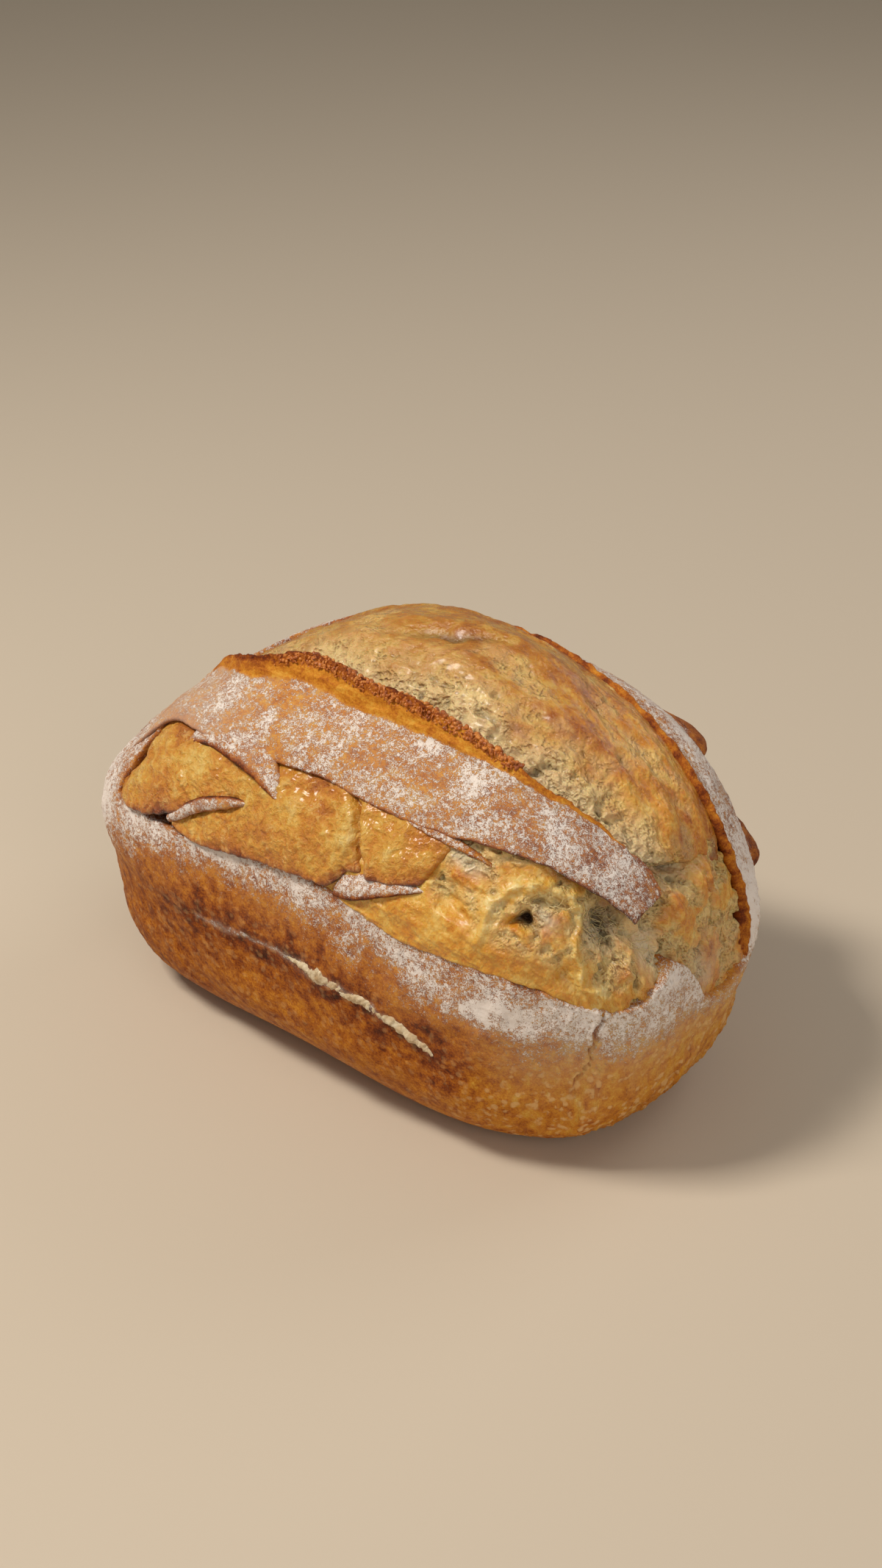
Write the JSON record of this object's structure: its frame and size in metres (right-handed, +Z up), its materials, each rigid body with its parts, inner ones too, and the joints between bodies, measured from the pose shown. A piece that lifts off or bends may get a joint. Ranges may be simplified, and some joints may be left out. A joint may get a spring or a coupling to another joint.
{
  "type": "sourdough loaf",
  "caption": "Tall tin-shaped sourdough loaf with a floured crust, torn open along the top and one long side over golden crumb.",
  "frame": {"origin": "under the middle of the loaf's box, on the surface that it rests on", "axes": "+X along the loaf towards the torn end, +Y towards the long side without lobes, +Z up"},
  "size_m": [0.2106, 0.1286, 0.1366],
  "materials": {
    "crust": "baked crust, mottled brown, dusted with white flour",
    "crumb": "torn, stretched crumb with a golden baked skin"
  },
  "bodies": {
    "root": {"loaf": "crust"}
  },
  "joints": []
}
